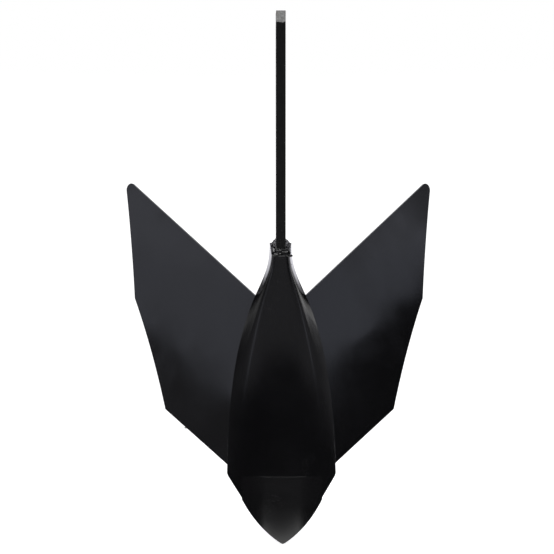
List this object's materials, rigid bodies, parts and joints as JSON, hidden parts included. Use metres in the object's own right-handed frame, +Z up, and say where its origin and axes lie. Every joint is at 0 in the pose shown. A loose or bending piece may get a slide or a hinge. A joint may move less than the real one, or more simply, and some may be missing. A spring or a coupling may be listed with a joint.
{
  "type": "ridging plough body",
  "caption": "Ridging plough body for a walking tiller: leaf-shaped pressed breast with a pointed share, flat-bar shank, and two swinging wings set by slotted arms.",
  "frame": {"origin": "centre of the middle one of five hitch holes, in the middle of the bar's thickness", "axes": "+Z up along the bar, -Y forward (the way the body travels), +X to the right as seen from the front, through the hitch holes"},
  "size_m": [0.4098, 0.3562, 0.652],
  "materials": {
    "bar_paint": "semi-gloss black paint, bare steel at the top end",
    "breast_paint": "semi-gloss black paint",
    "share_paint": "semi-gloss black paint",
    "wing_paint": "semi-gloss black paint",
    "frame_paint": "semi-gloss black paint, thinner in the corners",
    "weld_paint": "lumpy weld under glossy black paint",
    "zinc": "zinc-plated steel"
  },
  "bodies": {
    "root": {"shank": "bar_paint", "breast": "breast_paint", "share": "share_paint", "frog": "frame_paint", "neck_weld": "weld_paint", "clamp_bracket": "frame_paint", "bracket_welds": "weld_paint", "clamp_bolt": "zinc", "clamp_washers": "zinc", "clamp_spring_washer": "zinc", "clamp_nut": "zinc", "left_hinge_lugs": "frame_paint", "right_hinge_lugs": "frame_paint", "left_hinge_pin": "zinc", "right_hinge_pin": "zinc", "left_hinge_washer": "zinc", "right_hinge_washer": "zinc", "left_hinge_cotter": "zinc", "right_hinge_cotter": "zinc"},
    "left_wing_body": {"left_wing": "wing_paint", "left_wing_knuckles": "frame_paint", "left_wing_lug": "frame_paint", "left_arm_bolt": "zinc", "left_arm_washer": "zinc", "left_arm_nut": "zinc"},
    "left_arm_body": {"left_arm": "frame_paint"},
    "right_wing_body": {"right_wing": "wing_paint", "right_wing_knuckles": "frame_paint", "right_wing_lug": "frame_paint", "right_arm_bolt": "zinc", "right_arm_washer": "zinc", "right_arm_nut": "zinc"},
    "right_arm_body": {"right_arm": "frame_paint"}
  },
  "joints": [
    {"name": "left_wing_swing", "type": "hinge", "parent": "root", "child": "left_wing_body", "pos_m": [-0.028, -0.026, -0.407], "axis": [0, -0.2079, -0.9781], "range_deg": [0, 20]},
    {"name": "left_arm_pivot", "type": "hinge", "parent": "left_wing_body", "child": "left_arm_body", "pos_m": [-0.08087, 0.04932, -0.42301], "axis": [0, -0.2079, -0.9781], "range_deg": [-5, 1]},
    {"name": "right_wing_swing", "type": "hinge", "parent": "root", "child": "right_wing_body", "pos_m": [0.028, -0.026, -0.407], "axis": [0, 0.2079, 0.9781], "range_deg": [0, 20]},
    {"name": "right_arm_pivot", "type": "hinge", "parent": "right_wing_body", "child": "right_arm_body", "pos_m": [0.08087, 0.04932, -0.42301], "axis": [0, 0.2079, 0.9781], "range_deg": [-5, 1]}
  ],
  "couplings": [
    {"joint": "left_arm_pivot", "follows": "left_wing_swing", "ratio": -0.195},
    {"joint": "right_arm_pivot", "follows": "right_wing_swing", "ratio": -0.195}
  ]
}
